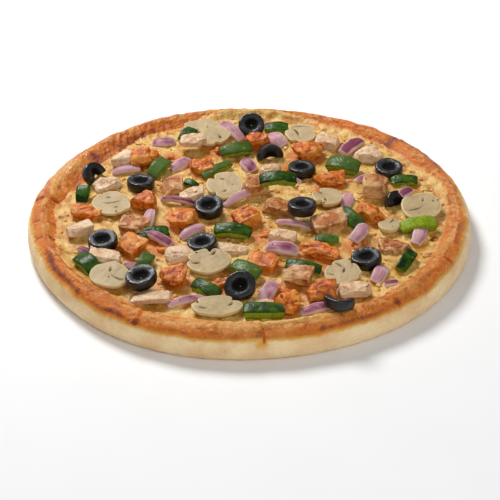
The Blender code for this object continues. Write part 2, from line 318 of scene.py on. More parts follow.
def crust_finish():
    """Pale soft side, golden top with a darker outer shoulder, painted shade along the folds and an oily
    sheen.
    """
    look = Finish("baked_crust", subsurface=0.04, coat_roughness=0.14)
    bake, toast_and_fold_shade, oil, relief_shade_and_peach = (look.value(name) for name in ("bake", "toast_and_fold_shade", "oil", "relief_shade_and_peach"))
    broad = look.noise(18, 3, 0.55)
    medium = look.noise(5, 4, 0.62)
    fine = look.noise(1.2, 4, 0.65)
    pale = look.mixed(look.span(broad, 0.35, 0.65), colour(242, 202, 150), colour(255, 226, 178))
    pale = look.mixed(look.span(look.swayed(bake, medium, 0.3), 0.0, 0.45), pale, colour(232, 172, 72))
    golden = look.mixed(look.span(medium, 0.35, 0.65), colour(187, 94, 18), colour(205, 122, 32))
    golden = look.mixed(look.span(broad, 0.46, 0.62, 0.0, 0.8), golden, colour(210, 138, 62))
    # Painted shade in the troughs of the crust's lumps and wrinkles and painted light on their crests, with
    # the lighter peach stretches added in
    uneven = look.swayed(relief_shade_and_peach, medium, 0.35)
    golden = look.mixed(look.span(uneven, 0.5, 0.85, 0.0, 0.75), golden, colour(232, 170, 92))
    golden = look.mixed(look.span(uneven, 0.5, 0.15, 0.0, 0.75), golden, colour(150, 70, 20))
    base = look.mixed(look.span(look.swayed(bake, medium, 0.25), 0.4, 0.85), pale, golden)
    # Real browning of the rim, with painted shade along the folds mixed in
    swayed_toast_and_fold_shade = look.swayed(toast_and_fold_shade, medium, 0.5)
    base = look.mixed(look.span(swayed_toast_and_fold_shade, 0.1, 0.6, 0.0, 0.85), base, colour(224, 122, 30))
    base = look.mixed(look.span(swayed_toast_and_fold_shade, 0.5, 1.1), base, colour(132, 52, 8))
    freckle = look.math("MULTIPLY", look.span(fine, 0.56, 0.74, 0.0, 0.6), bake)
    base = look.mixed(freckle, base, colour(140, 62, 16))
    light_speck = look.math("MULTIPLY", look.span(fine, 0.42, 0.28, 0.0, 0.55), bake)
    base = look.mixed(light_speck, base, colour(238, 188, 116))
    normal = look.bump(fine, 0.6)
    normal = look.bump(look.noise(2.6, 3, 0.6), 1.1, normal)
    wet = look.math("MULTIPLY", oil, look.span(medium, 0.45, 0.62, 0.15, 1.0))
    return look.done(base, normal, look.span(bake, 0.2, 0.8, 0.75, 0.45), wet)


def cheese_finish():
    """Melted cheese: creamy lumps in yellow, orange oil near the spiced chicken, browned spots."""
    look = Finish("melted_cheese", subsurface=0.05, coat_roughness=0.2)
    stain, spot, high, rim = (look.value(name) for name in ("stain", "spot", "high", "rim"))
    lumps = look.noise(4.5, 4, 0.65)
    broad = look.noise(19, 2, 0.5)
    fine = look.noise(1.3, 4, 0.7)
    creamy = look.mixed(look.span(fine, 0.32, 0.62), colour(206, 154, 62), colour(238, 204, 126))
    yellow = look.mixed(look.span(broad, 0.35, 0.65), colour(184, 120, 26), colour(202, 148, 48))
    base = look.mixed(look.span(look.swayed(high, lumps, 0.7), 0.25, 0.65), yellow, creamy)
    oily = look.swayed(stain, lumps, 0.8)
    base = look.mixed(look.span(oily, 0.3, 1.0, 0.0, 0.85), base, colour(202, 104, 26))
    base = look.mixed(look.span(fine, 0.56, 0.72, 0.0, 0.65), base, colour(184, 94, 24))
    edging = look.span(look.swayed(rim, lumps, 0.7), 0.55, 1.2, 0.0, 0.75)
    base = look.mixed(edging, base, colour(218, 146, 70))
    base = look.mixed(look.span(look.noise(5.5, 3, 0.6), 0.6, 0.68, 0.0, 0.75), base, colour(196, 104, 32))
    browned = look.swayed(spot, fine, 0.35)
    base = look.mixed(look.span(browned, 0.2, 0.85, 0.0, 0.9), base, colour(158, 74, 16))
    normal = look.bump(fine, 0.4)
    normal = look.bump(look.noise(2.4, 3, 0.6), 0.7, normal)
    return look.done(base, normal, look.span(fine, 0.3, 0.7, 0.35, 0.55), 0.35)


def olive_finish():
    """Glossy near-black skin, dark wet cut flesh with a painted glint in a lighter ring round the bowl, and
    the bowl round the narrow hole painted near-black as its shadow.
    """
    look = Finish("black_olive", coat_roughness=0.1, specular=0.3)
    cut, hole_glint, bowl = look.value("cut"), look.value("hole_glint"), look.value("bowl")
    fine = look.noise(0.9, 4, 0.65)
    broad = look.noise(3)
    skin = look.mixed(look.span(broad, 0.35, 0.65), colour(4, 3, 4), colour(13, 11, 13))
    flesh = look.mixed(look.span(fine, 0.3, 0.7), colour(9, 9, 11), colour(28, 27, 30))
    base = look.mixed(cut, skin, flesh)
    # Painted glint in a lighter ring at the bowl's edge
    lighter = look.math("MULTIPLY", hole_glint, look.span(broad, 0.4, 0.62, 0.05, 0.7))
    base = look.mixed(lighter, base, colour(62, 60, 62))
    normal = look.bump(fine, 0.16)
    normal = look.bump(look.noise(2.4, 2), 0.5, normal)
    # The bowl round the nearly closed hole is painted near-black, dull and without coat, as the hole's shadow
    base = look.mixed(bowl, base, colour(3, 2, 2))
    roughness = look.math("MAXIMUM", bowl, look.span(cut, 0.0, 1.0, 0.35, 0.5))
    coat = look.math("MULTIPLY", look.span(bowl, 0.0, 0.5, 1.0, 0.0), look.span(cut, 0.0, 1.0, 0.5, 0.22))
    return look.done(base, normal, roughness, coat)


def mushroom_finish():
    """Greyish cream slices with a painted highlight round the edge, lighter and yellower there, and brown
    gills.
    """
    look = Finish("mushroom_slice", subsurface=0.06, coat_roughness=0.3)
    gill, edge = look.value("gill"), look.value("edge")
    broad = look.noise(8, 3, 0.55)
    fine = look.noise(0.8, 4, 0.6)
    base = look.mixed(look.span(broad, 0.3, 0.7), colour(173, 149, 106), colour(192, 169, 128))
    base = look.mixed(look.span(fine, 0.45, 0.75, 0.0, 0.4), base, colour(168, 144, 100))
    # Painted highlight round the slice's edge
    base = look.mixed(look.span(edge, 0.2, 1.0, 0.0, 0.8), base, colour(230, 208, 154))
    soft = look.swayed(gill, fine, 0.3)
    base = look.mixed(look.span(soft, 0.15, 0.5, 0.0, 0.6), base, colour(120, 92, 58))
    base = look.mixed(look.span(soft, 0.5, 0.9), base, colour(50, 34, 22))
    normal = look.bump(fine, 0.12)
    normal = look.bump(look.noise(3.5, 3), 0.35, normal)
    return look.done(base, normal, 0.6, 0.1)


def chicken_finish(name, top, top_dark, side, edge_tone, gloss):
    """Roast chicken: a seasoned browned top with painted shade in its hollows and a painted highlight on its
    bumps, paler cut sides, and the palest edges, which carry a painted highlight.
    """
    look = Finish(name, subsurface=0.03, specular=0.2, coat_roughness=0.15)
    season, edge, hollow = look.value("season"), look.value("edge"), look.value("hollow")
    fibres = look.veins(look.stretched(look.vector("grain"), (0.3, 1.0, 1.0)), 1.0, 4, 0.6)
    patches = look.noise(2.6, 4, 0.65, 0.5)
    broad = look.noise(14, 2)
    tops = look.mixed(look.span(patches, 0.42, 0.64), colour(*top), colour(*top_dark))
    tops = look.mixed(look.span(broad, 0.5, 0.64, 0.0, 0.5), tops, colour(*edge_tone))
    tops = look.mixed(look.span(fibres, 0.6, 0.36, 0.0, 0.4), tops, colour(*side))
    sides = look.mixed(look.span(fibres, 0.35, 0.65, 0.0, 0.8), colour(*side), colour(*edge_tone))
    base = look.mixed(look.span(look.swayed(season, patches, 0.5), 0.3, 0.7), sides, tops)
    # Painted shade in the hollows of the seasoned top, from a darker copy of its colour
    hollow_shade = look.span(look.swayed(hollow, patches, 0.3), 0.55, 0.95, 0.0, 0.75)
    hollow_shade_tone = colour(*(0.78 * level for level in top_dark))
    base = look.mixed(look.math("MULTIPLY", hollow_shade, season), base, hollow_shade_tone)
    # Painted highlight on the raised bits
    raised_highlight = look.span(look.swayed(hollow, patches, 0.2), 0.35, 0.05, 0.0, 0.55)
    base = look.mixed(raised_highlight, base, colour(*edge_tone))
    # Painted highlight along the block's edges
    edge_highlight = look.math("MULTIPLY", edge, look.span(patches, 0.4, 0.65, 0.8, 0.0))
    base = look.mixed(edge_highlight, base, colour(*edge_tone))
    normal = look.bump(fibres, 0.35)
    normal = look.bump(patches, 0.8, normal)
    return look.done(base, normal, look.span(fibres, 0.3, 0.7, 0.35, 0.55), gloss)


def pepper_finish():
    """Dark green waxy skin over lime green flesh, with a painted pale sheen mixed into the skin of some
    pieces.
    """
    look = Finish("green_pepper", subsurface=0.03, specular=0.12, coat_roughness=0.1)
    skin, tint_and_sheen = look.value("skin"), look.value("tint_and_sheen")
    broad = look.noise(5, 2)
    fine = look.noise(0.9, 3, 0.6)
    skins = look.mixed(look.span(broad, 0.35, 0.65), colour(13, 38, 0), colour(48, 86, 0))
    # Painted sheen: a pale grey green mixed into the skin by the piece's value
    skins = look.mixed(look.math("MULTIPLY", tint_and_sheen, 0.8), skins, colour(100, 120, 54))
    flesh = look.mixed(look.span(fine, 0.3, 0.7), colour(104, 132, 10), colour(156, 172, 42))
    base = look.mixed(look.span(skin, 0.3, 0.6), flesh, skins)
    normal = look.bump(fine, 0.08)
    normal = look.bump(look.noise(3.0, 2), 0.5, normal)
    roughness, coat = look.span(skin, 0.3, 0.6, 0.5, 0.45), look.span(skin, 0.3, 0.6, 0.05, 0.12)
    return look.done(base, normal, roughness, coat)


def onion_finish():
    """Purple rind side fading to lilac white flesh at the cut edges, with faint lengthwise veins."""
    look = Finish("red_onion", subsurface=0.08, coat_roughness=0.12)
    rind, tint_and_sheen = look.value("rind"), look.value("tint_and_sheen")
    veins = look.veins(look.stretched(look.vector("grain"), (0.07, 1.0, 1.0)), 1.6, 3, 0.6)
    broad = look.noise(6, 2)
    white = look.mixed(look.span(veins, 0.3, 0.7), colour(230, 204, 196), colour(210, 172, 172))
    lilac = look.mixed(look.span(veins, 0.3, 0.7), colour(206, 164, 166), colour(178, 120, 136))
    purple = look.mixed(look.span(veins, 0.3, 0.7), colour(146, 70, 96), colour(110, 34, 64))
    share = look.swayed(look.math("MULTIPLY", rind, look.math("ADD", tint_and_sheen, 0.45)), broad, 0.6)
    base = look.mixed(look.span(share, 0.05, 0.55), white, lilac)
    base = look.mixed(look.span(share, 0.65, 1.2), base, purple)
    normal = look.bump(veins, 0.12)
    return look.done(base, normal, 0.55, 0.04)


def herb_finish():
    look = Finish("dried_herb")
    leaf = look.mixed(look.span(look.noise(1.2), 0.35, 0.65), colour(58, 56, 14), colour(104, 70, 24))
    return look.done(leaf, look.bump(look.noise(0.4), 0.1), 0.8)


def floor_finish():
    look = Finish("pale_floor", specular=0.1)
    paint = look.mixed(look.span(look.noise(40), 0.3, 0.7), (0.94, 0.94, 0.94, 1), (0.95, 0.95, 0.95, 1))
    return look.done(paint, look.bump(look.noise(2), 0.01), 0.8)


# Crust


def curve_through(points, spacing):
    """Points about spacing apart on a smooth curve through the given ones."""
    places = [Vector(p) for p in points]
    padded = [places[0]] + places + [places[-1]]
    result = []
    for before, start, end, after in zip(padded, padded[1:], padded[2:], padded[3:]):
        steps = max(1, round((end - start).length / spacing))
        for step in range(steps):
            t = step / steps
            result.append(0.5 * ((2 * start) + (end - before) * t
                                 + (2 * before - 5 * start + 4 * end - after) * t ** 2
                                 + (3 * start - before - 3 * end + after) * t ** 3))
    return result + [places[-1]]


def outline_wobble(angle):
    """How far the uneven outline of the crust stands out or in at an angle in radians."""
    two_sided = 0.5 * math.cos(2 * angle + 0.5) + 0.3 * math.cos(6 * angle)
    one_sided = 0.5 * (math.cos(3 * angle) - math.cos(5 * angle))
    return two_sided + one_sided


def fold_push(degrees):
    """Dough folded over itself: at each pinch a sharp drop on one side and a soft rise on the other."""
    push = 0.0
    for at, depth, side in RIM_FOLDS:
        off = angle_between(degrees, at) * side
        if 0.0 <= off < 20.0:
            push -= 0.42 * depth * math.exp(-off / 3.2)
        elif -16.0 < off < 0.0:
            push += 0.1 * depth * math.exp(off / 3.5)
    return push


def fold_shadow(degrees):
    return sum(depth * bump_at(angle_between(degrees, at) * side - 0.5, 0.8)
               for at, depth, side in RIM_FOLDS)


def browning(degrees):
    return sum(strength * bump_at(angle_between(degrees, at), width)
               for at, width, strength in RIM_BROWNING)


def crack_share(degrees):
    return bump_at(angle_between(degrees, CRACK_ANGLE), CRACK_WIDTH)


def crust_section():
    """Half section of the crust, from the middle of its underside round the rim to that of its floor."""
    edge = PIZZA_RADIUS
    under = [Vector((r, 0.0)) for r in (0.0, 30.0, 60.0, 90.0, 110.0, 119.0)]
    rim = curve_through((
        (edge - 5.0, 0.0), (edge - 2.4, 0.15), (edge - 1.1, 1.2), (edge - 0.3, 4.0), (edge, 7.0),
        (edge - 0.5, 11.0), (edge - 2.0, 14.4), (edge - 4.6, 16.7), (edge - 8.2, RIM_HEIGHT),
        (edge - 11.0, 17.2), (edge - 13.6, 15.2), (edge - 17.0, 13.2), (edge - 22.0, 12.0),
    ), CRUST_SPACING)
    floor = [Vector((r, FLOOR_HEIGHT)) for r in (96.0, 80.0, 55.0, 30.0, 0.0)]
    return under + rim + floor


def crust_grain(place, degrees):
    """Lumps, pores and wrinkles of the crust's top, in millimetres."""
    radius = math.hypot(place.x, place.y)
    slanted = degrees + 0.5 * (radius - 117.0)
    lumps = 0.4 * rough(place, 9, 2) + 0.35 * rough(place, 4.5, 16)
    pores = 0.25 * rough(place, 2.6, 4) + 0.15 * rough(place, 1.5, 9)
    creases = 0.45 * rough((slanted * 0.16, (radius + 0.7 * place.z) * 0.55, 0.0), 1.0, 17)
    across = (degrees * 0.9 + 0.25 * radius, radius * 0.16, 0.0)
    zone = bump_at(angle_between(degrees, 132), 13) + 0.4 * bump_at(angle_between(degrees, 0), 24)
    wrinkles = 1.7 * rough(across, 1.1, 5) * zone * eased(PIZZA_RADIUS - 6.0, PIZZA_RADIUS - 10.0, radius)
    fine_wrinkles = 0.35 * rough(across, 1.0, 10) * eased(PIZZA_RADIUS - 5.0, PIZZA_RADIUS - 10.0, radius)
    return lumps + pores + creases + wrinkles + fine_wrinkles


def crust_push(place, degrees, grain, on_top, on_side):
    """How far the crust's surface stands out from its smooth section."""
    radius = math.hypot(place.x, place.y)
    swell = 0.35 * rough(place, 26, 1) * (0.4 + 0.6 * on_top) + 0.14 * rough(place, 12, 3) * on_side
    slant = 0.3 * (radius - 117.0) * rough((degrees * 0.1, 0.0, 0.0), 2.0, 18)
    wavering = degrees + slant + rough(place, 6, 19)
    ridge = 0.7 * bump_at(radius - 119.5, 1.2) * bump_at(angle_between(degrees, 322), 8)
    dent = -0.9 * bump_at(angle_between(degrees, 335.5), 2.0) * bump_at(radius - 121.0, 2.5)
    crack = -1.3 * crack_share(degrees) * eased(9.0, 12.0, place.z)
    return swell + (grain + fold_push(wavering) + ridge + dent + crack) * on_top


def peach(degrees, radius):
    """Lighter stretches along the crest, at the front, the left and the right."""
    front = 0.35 * bump_at(angle_between(degrees, 268), 34)
    left = 0.42 * bump_at(angle_between(degrees, 160), 14)
    right = 0.15 * bump_at(angle_between(degrees, -10), 25)
    return (front + left + right) * bump_at(radius - 118.0, 4.0)


def pale_height(degrees):
    """Height up to which the side of the crust has stayed pale."""
    right, left = bump_at(angle_between(degrees, 2), 40), bump_at(angle_between(degrees, 192), 26)
    return 12.9 + 3.4 * right + 2.6 * left


def crust_shape():
    shape = bmesh.new()
    section = [shape.verts.new((p.x, 0.0, p.y)) for p in crust_section()]
    edges = [shape.edges.new(pair) for pair in zip(section, section[1:])]
    bmesh.ops.spin(shape, geom=edges + section, cent=(0, 0, 0), axis=(0, 0, 1), dvec=(0, 0, 0),
                   angle=2 * math.pi, steps=CRUST_STEPS, use_merge=True)
    bmesh.ops.remove_doubles(shape, verts=shape.verts, dist=0.001)
    bmesh.ops.recalc_face_normals(shape, faces=shape.faces)
    shape.normal_update()
    bake, toast_and_fold_shade, oil, relief_shade_and_peach = (layer(shape, name) for name in ("bake", "toast_and_fold_shade", "oil", "relief_shade_and_peach"))
    moves = []
    for corner in shape.verts:
        place = corner.co.copy()
        radius = math.hypot(place.x, place.y)
        angle = math.atan2(place.y, place.x)
        degrees = math.degrees(angle)
        share = eased(100.0, PIZZA_RADIUS, radius)
        outer = radius > CREST_RADIUS
        on_top = eased(11.5, 15.5, place.z) if outer else eased(103.0, 112.0, radius)
        on_side = eased(0.6, 3.0, place.z) * (1.0 - on_top) if outer else 0.0
        grain = crust_grain(place, degrees)
        push = crust_push(place, degrees, grain, on_top, on_side)
        # Relief that the material turns into painted shade in the troughs and painted light on the crests,
        # plus the lighter peach stretches
        corner[relief_shade_and_peach] = 0.5 + 0.55 * grain * on_top + peach(degrees, radius)
        outward = Vector((math.cos(angle), math.sin(angle), 0.0)) * outline_wobble(angle) * share
        moves.append(place + outward + corner.normal * push)
        wander = 0.9 * rough(place, 12, 6) + 0.4 * rough(place, 4, 7)
        level = place.z - pale_height(degrees) + wander
        corner[bake] = eased(-2.6, 2.4, level) if outer else 1.0
        brown = browning(degrees)
        shoulder = bump_at(level - 1.9, 1.7) * min(1.0, 0.35 + brown) if outer else 0.0
        blotch = eased(0.0, 0.55, rough(place, 15, 8)) * (0.25 + 0.5 * brown)
        slope = eased(118.0, 113.0, radius) * (0.35 + 0.4 * brown) if not outer else 0.0
        crack = crack_share(degrees) * eased(10.0, 12.0, place.z) if outer else 0.0
        below = bump_at(angle_between(degrees, CRACK_ANGLE - 0.6), 1.6)
        drip = 0.45 * below * eased(6.5, 11.0, place.z) if outer else 0.0
        corner[bake] = max(corner[bake], drip)
        browned = max(shoulder, slope, crack, blotch * on_top)
        # Painted shade along the folds is added to the real browning here
        corner[toast_and_fold_shade] = min(1.0, browned + fold_shadow(degrees) * on_top * 0.35)
        right, left = bump_at(angle_between(degrees, -8), 38), bump_at(angle_between(degrees, 152), 16)
        corner[oil] = on_top * min(1.0, 0.3 + 0.7 * right + 0.7 * left)
    for corner, place in zip(shape.verts, moves):
        corner.co = place
        corner.co.z = max(0.0, place.z)
    return shape


# Cheese


def cheese_edge(degrees):
    """Radius of the cheese's edge at an angle, smoothly between the places measured."""
    degrees %= 360.0
    rows = CHEESE_EDGE + ((360 + CHEESE_EDGE[0][0], CHEESE_EDGE[0][1]),)
    for (first, low), (second, high) in zip(rows, rows[1:]):
        if first <= degrees <= second:
            return low + (high - low) * eased(first, second, degrees)
    return rows[0][1]


def blurred(grid, cells):
    """A soft copy of a grid, averaged over about this many cells each way."""
    for axis in (0, 1):
        for _ in range(2):
            total = sum(np.roll(grid, shift, axis) for shift in range(-cells, cells + 1))
            grid = total / (2 * cells + 1)
    return grid


def cheese_surface(crust_tree, topping_tree, stains):
    """Heights of the cheese on a square grid, with the values that its material reads."""
    count = CHEESE_CELLS + 1
    steps = np.linspace(-CHEESE_HALF, CHEESE_HALF, count)
    level = np.zeros((count, count))
    under = np.full((count, count), np.inf)
    spot = np.zeros((count, count))
    high = np.zeros((count, count))
    rim = np.zeros((count, count))
    up, down = Vector((0, 0, 1)), Vector((0, 0, -1))
    for row, y in enumerate(steps):
        for column, x in enumerate(steps):
            radius = math.hypot(x, y)
            if radius > CHEESE_HALF + 1.0:
                continue
            lumps = 0.5 * rough((x, y, 0), 6.5, 11) + 0.3 * rough((x, y, 0), 2.8, 12)
            waves = 0.45 * rough((x, y, 0), 24, 13)
            height = CHEESE_LEVEL + lumps + waves
            if radius > 100.0:
                degrees = math.degrees(math.atan2(y, x))
                edge = cheese_edge(degrees) + 1.3 * rough((x, y, 0), 6, 14) + 0.5 * rough((x, y, 0), 2, 15)
                hit = crust_tree.ray_cast(Vector((x, y, 40)), down)[0]
                ground = hit.z if hit else 0.0
                film = 0.9 * (1.0 - eased(edge - 2.5, edge + 0.8, radius)) if radius < edge + 0.8 else -1.2
                blend = eased(edge - 9.0, edge - 2.5, radius)
                flow = ground + film + 0.3 * lumps
                height = height * (1.0 - blend) + max(flow, min(height, ground + film)) * blend
                rim[row, column] = eased(edge - 6.0, edge, radius)
            level[row, column] = height
            high[row, column] = 0.5 + 0.9 * lumps
            hit = topping_tree.ray_cast(Vector((x, y, 5)), up)[0]
            if hit and radius < 118.0:
                under[row, column] = hit.z
    for x, y, size in BROWNED_SPOTS:
        distance = np.hypot(steps[None, :] - x, steps[:, None] - y)
        spot = np.maximum(spot, np.exp(-(distance / size) ** 4))
        level -= 0.7 * np.exp(-(distance / size) ** 2)
        level += 0.5 * np.exp(-((distance - size * 1.35) / (0.45 * size)) ** 2)
    gap = under - level
    beyond = 1.1 * np.exp(-(np.minimum(gap, 30.0) - 0.8) / 0.4)
    touch = np.where(gap < 0.8, np.clip(gap + 0.3, 0.0, 1.1), beyond)
    touch = np.where(np.isfinite(under), touch, 0.0)
    spread = blurred(touch, 1)
    level += np.where(np.isfinite(under) & (touch > spread), touch, spread)
    stain = np.zeros((count, count))
    for x, y, size in stains:
        distance = np.hypot(steps[None, :] - x, steps[:, None] - y)
        stain = np.maximum(stain, np.exp(-(distance / size) ** 3))
    return steps, level, {"stain": stain, "spot": spot, "high": high, "rim": rim}


def cheese_shape(crust_tree, topping_tree, stains):
    steps, level, values = cheese_surface(crust_tree, topping_tree, stains)
    shape = bmesh.new()
    bmesh.ops.create_grid(shape, x_segments=CHEESE_CELLS, y_segments=CHEESE_CELLS, size=CHEESE_HALF)
    outside = [v for v in shape.verts if v.co.xy.length > CHEESE_HALF - 0.3]
    bmesh.ops.delete(shape, geom=outside, context="VERTS")
    layers = [(layer(shape, name), grid) for name, grid in values.items()]
    cell = steps[1] - steps[0]
    for corner in shape.verts:
        column = int(round((corner.co.x + CHEESE_HALF) / cell))
        row = int(round((corner.co.y + CHEESE_HALF) / cell))
        corner.co.z = level[row, column]
        for value, grid in layers:
            corner[value] = grid[row, column]
    rim = [e for e in shape.edges if e.is_boundary]
    wall = bmesh.ops.extrude_edge_only(shape, edges=rim)["geom"]
    for corner in (g for g in wall if isinstance(g, bmesh.types.BMVert)):
        corner.co.z = CHEESE_FLOOR
    bottom = [g for g in wall if isinstance(g, bmesh.types.BMEdge) and g.is_boundary]
    bmesh.ops.edgeloop_fill(shape, edges=bottom)
    bmesh.ops.recalc_face_normals(shape, faces=shape.faces)
    return shape


# Toppings


def corner_arc(middle, radius, start, end, steps):
    """Points on a rounded corner of a section."""
    angles = [math.radians(start + (end - start) * step / steps) for step in range(steps + 1)]
    return [(middle[0] + radius * math.cos(a), middle[1] + radius * math.sin(a)) for a in angles]


def olive_section():
    """Closed section of the ring: rounded skin side, and cut faces that sink into a bowl round a hole."""
    half, skin_edge = OLIVE_HALF_THICKNESS, 1.1
    outer, bowl = OLIVE_RADIUS, OLIVE_BOWL
    points = [(outer + 0.3, 0.0)]
    points += corner_arc((outer - skin_edge, half - skin_edge), skin_edge, 0, 90, 5)
    points += [(outer - 2.2, half - 0.05), (bowl + 0.6, half - 0.25), (bowl, half - 0.6)]
    points += [(bowl - 0.5, half - 1.2), (bowl - 1.0, half - 2.0), (OLIVE_HOLE + 0.9, 0.4)]
    points += [(OLIVE_HOLE, 0.0)]
    mirrored = [(r, -z) for r, z in reversed(points[1:-1])]
    return points + mirrored


def olive_shape(arc, seed):
    """A ring cut from an olive, or an arc of one."""
    shape = bmesh.new()
    corners = [shape.verts.new((r, 0.0, z)) for r, z in olive_section()]
    loop = [shape.edges.new((a, b)) for a, b in zip(corners, corners[1:] + corners[:1])]
    whole = arc == 360
    bmesh.ops.rotate(shape, verts=shape.verts, cent=(0, 0, 0),
                     matrix=Matrix.Rotation(math.radians(90 - arc / 2), 3, "Z"))
    bmesh.ops.spin(shape, geom=loop + corners, cent=(0, 0, 0), axis=(0, 0, 1), dvec=(0, 0, 0),
                   angle=math.radians(arc), steps=max(2, OLIVE_STEPS * arc // 360), use_merge=whole)
    if not whole:
        bmesh.ops.holes_fill(shape, edges=[e for e in shape.edges if e.is_boundary], sides=0)
    bmesh.ops.recalc_face_normals(shape, faces=shape.faces)
    cut, hole_glint, bowl = layer(shape, "cut"), layer(shape, "hole_glint"), layer(shape, "bowl")
    for corner in shape.verts:
        place = corner.co.copy()
        radius = math.hypot(place.x, place.y)
        on_face = eased(OLIVE_HALF_THICKNESS - 1.2, OLIVE_HALF_THICKNESS - 0.6, abs(place.z))
        corner[cut] = max(on_face, 0.2 * eased(OLIVE_BOWL, OLIVE_BOWL - 0.6, radius)) \
            * eased(OLIVE_RADIUS - 0.6, OLIVE_RADIUS - 1.5, radius)
        # Where the material paints a glint round the bowl's edge
        corner[hole_glint] = bump_at(radius - OLIVE_BOWL - 0.5, 0.6) * on_face
        # Where the material paints the hole's shadow
        corner[bowl] = eased(OLIVE_BOWL + 0.1, OLIVE_BOWL - 0.9, radius)
        angle = math.atan2(place.y, place.x)
        across, along = math.cos(angle), math.sin(angle)
        wander = 0.05 * math.cos(2 * angle + seed) + 0.05 * rough((across, along, seed), 0.9)
        hole_wander = 0.14 * rough((across * 2, along * 2, seed + 9), 1.0)
        near_hole = eased(OLIVE_BOWL + 0.6, OLIVE_BOWL - 1.0, radius)
        stretch = 1.0 + wander * (1.0 - near_hole) + hole_wander * near_hole
        corner.co = (place.x * stretch, place.y * stretch, place.z + 0.3 * rough(place, 3.5, seed))
    return shape


def slice_reach(direction, dents):
    """Share of the oval's reach in a direction. dents holds direction, depth and half width in degrees."""
    return 1.0 - sum(depth * bump_at(angle_between(direction, at), width) for at, depth, width in dents)


def mushroom_shape(across, along, stem, seed, dents, gills):
    """A slice through a mushroom, with dents in its outline and pits where the gills are. gills holds x, y,
    length, width and direction in degrees, from the slice's middle, as it lies on the pizza."""
    half = SLICE_HALF_THICKNESS
    section = [(0.0, half)] + [(0.042 * step, half) for step in range(1, 22)]
    section += [(0.94, half - 0.05), (0.975, half - 0.2), (0.995, half - 0.55), (1.0, half - 1.0)]
    section += [(0.985, half - 1.6), (0.95, half - 2.3), (0.9, -half + 1.1), (0.84, -half + 0.4)]
    section += [(0.75, -half), (0.5, -half), (0.25, -half), (0.0, -half)]
    shape = bmesh.new()
    chain = [shape.verts.new((r, 0.0, z)) for r, z in section]
    edges = [shape.edges.new(pair) for pair in zip(chain, chain[1:])]
    bmesh.ops.spin(shape, geom=edges + chain, cent=(0, 0, 0), axis=(0, 0, 1), dvec=(0, 0, 0),
                   angle=2 * math.pi, steps=SLICE_STEPS, use_merge=True)
    bmesh.ops.remove_doubles(shape, verts=shape.verts, dist=0.0005)
    bmesh.ops.recalc_face_normals(shape, faces=shape.faces)
    gill, edge = layer(shape, "gill"), layer(shape, "edge")
    turn = Matrix.Rotation(math.radians(stem), 3, "Z")
    for corner in shape.verts:
        share = corner.co.xy.length
        place = turn @ Vector((corner.co.x * along / 2, corner.co.y * across / 2, corner.co.z))
        angle = math.atan2(place.y, place.x)
        round_place = (math.cos(angle), math.sin(angle))
        reach = slice_reach(math.degrees(angle), dents)
        reach += 0.07 * rough((*round_place, seed), 0.9) + 0.03 * rough((*round_place, seed + 5), 0.3)
        place.x, place.y = place.x * reach, place.y * reach
        # Where the material paints its highlight round the edge
        corner[edge] = eased(0.86, 0.98, share)
        place.z += 0.25 * rough((place.x, place.y, seed), 7) + 0.15 * rough((place.x, place.y, seed), 2.2)
        place.z += 0.6 * rough((place.x * 0.5, place.y * 0.5, seed + 3), 6)
        dark = 0.0
        for gx, gy, length, width, direction in gills:
            away = Matrix.Rotation(-math.radians(direction), 2) @ Vector((place.x - gx, place.y - gy))
            bend = 0.03 * away.x * away.x
            dark = max(dark, bump_at(away.x, length / 2) * bump_at(away.y - bend, width / 2))
        if corner.co.z > 0:
            place.z -= 1.0 * dark
            corner[gill] = dark
        corner.co = place
    return shape


def chunk_facets(seed, torn):
    """Planes that break the corners off a diced block: direction, and reach from its middle."""
    kept = 0.14 * (1.0 - min(1.0, 1.5 * torn))
    picker = random.Random(seed)
    facets = []
    for _ in range(6):
        direction = Vector([picker.uniform(-1.0, 1.0) for _ in range(3)])
        facets.append((direction.normalized(), picker.uniform(0.36, 0.52) + kept))
    return facets


def chunk_shape(length, width, height, seed, roundness, torn, season_level):
    """A diced block of chicken: uneven flat cuts, worn edges and a fibrous or torn surface."""
    shape = bmesh.new()
    bmesh.ops.create_cube(shape, size=1.0)
    bmesh.ops.subdivide_edges(shape, edges=shape.edges, cuts=15, use_grid_fill=True)
    season, edge, hollow = layer(shape, "season"), layer(shape, "edge"), layer(shape, "hollow")
    grain = grain_layer(shape)
    offset = Vector((seed * 3.7, seed * 1.9, seed * 5.3))
    signs = [Vector((i, j, k)) for i in (-1, 1) for j in (-1, 1) for k in (-1, 1)]
    skews = [rough_vector(sign * 0.9 + offset, 1.0) * 0.34 for sign in signs]
    facets = chunk_facets(seed, torn)
    for corner in shape.verts:
        cube = corner.co.copy()
        ranked = sorted((abs(cube.x), abs(cube.y), abs(cube.z)))
        near_edge = eased(0.34, 0.5, ranked[1])
        point = cube.lerp(cube.normalized() * 0.56, roundness) * (1.0 - 0.07 * near_edge ** 2)
        for sign, skew in zip(signs, skews):
            share = (0.5 + cube.x * sign.x) * (0.5 + cube.y * sign.y) * (0.5 + cube.z * sign.z)
            point += skew * share
        for direction, reach in facets:
            point -= direction * max(0.0, point.dot(direction) - reach)
        place = Vector((point.x * length, point.y * width, point.z * height))
        corner[grain] = place + offset * 10
        outward = Vector((cube.x / length, cube.y / width, cube.z / height)).normalized()
        fibre = rough((place.x * 0.3, place.y, place.z), 1.6, seed)
        crumple = rough(place, 4.0, seed + 2) + 0.65 * rough(place, 1.9, seed + 3)
        place += outward * (0.16 * fibre + 1.05 * torn * crumple)
        # Where the material paints a highlight along the block's edges
        corner[edge] = eased(0.4, 0.49, ranked[1])
        # High where the surface dents in: the material paints shade there and a highlight where it stands out
        corner[hollow] = 0.5 - 0.8 * crumple * min(1.0, 0.4 + torn)
        corner[season] = season_level + 0.7 * cube.z + 0.2 * crumple * torn
        corner.co = place
    return shape


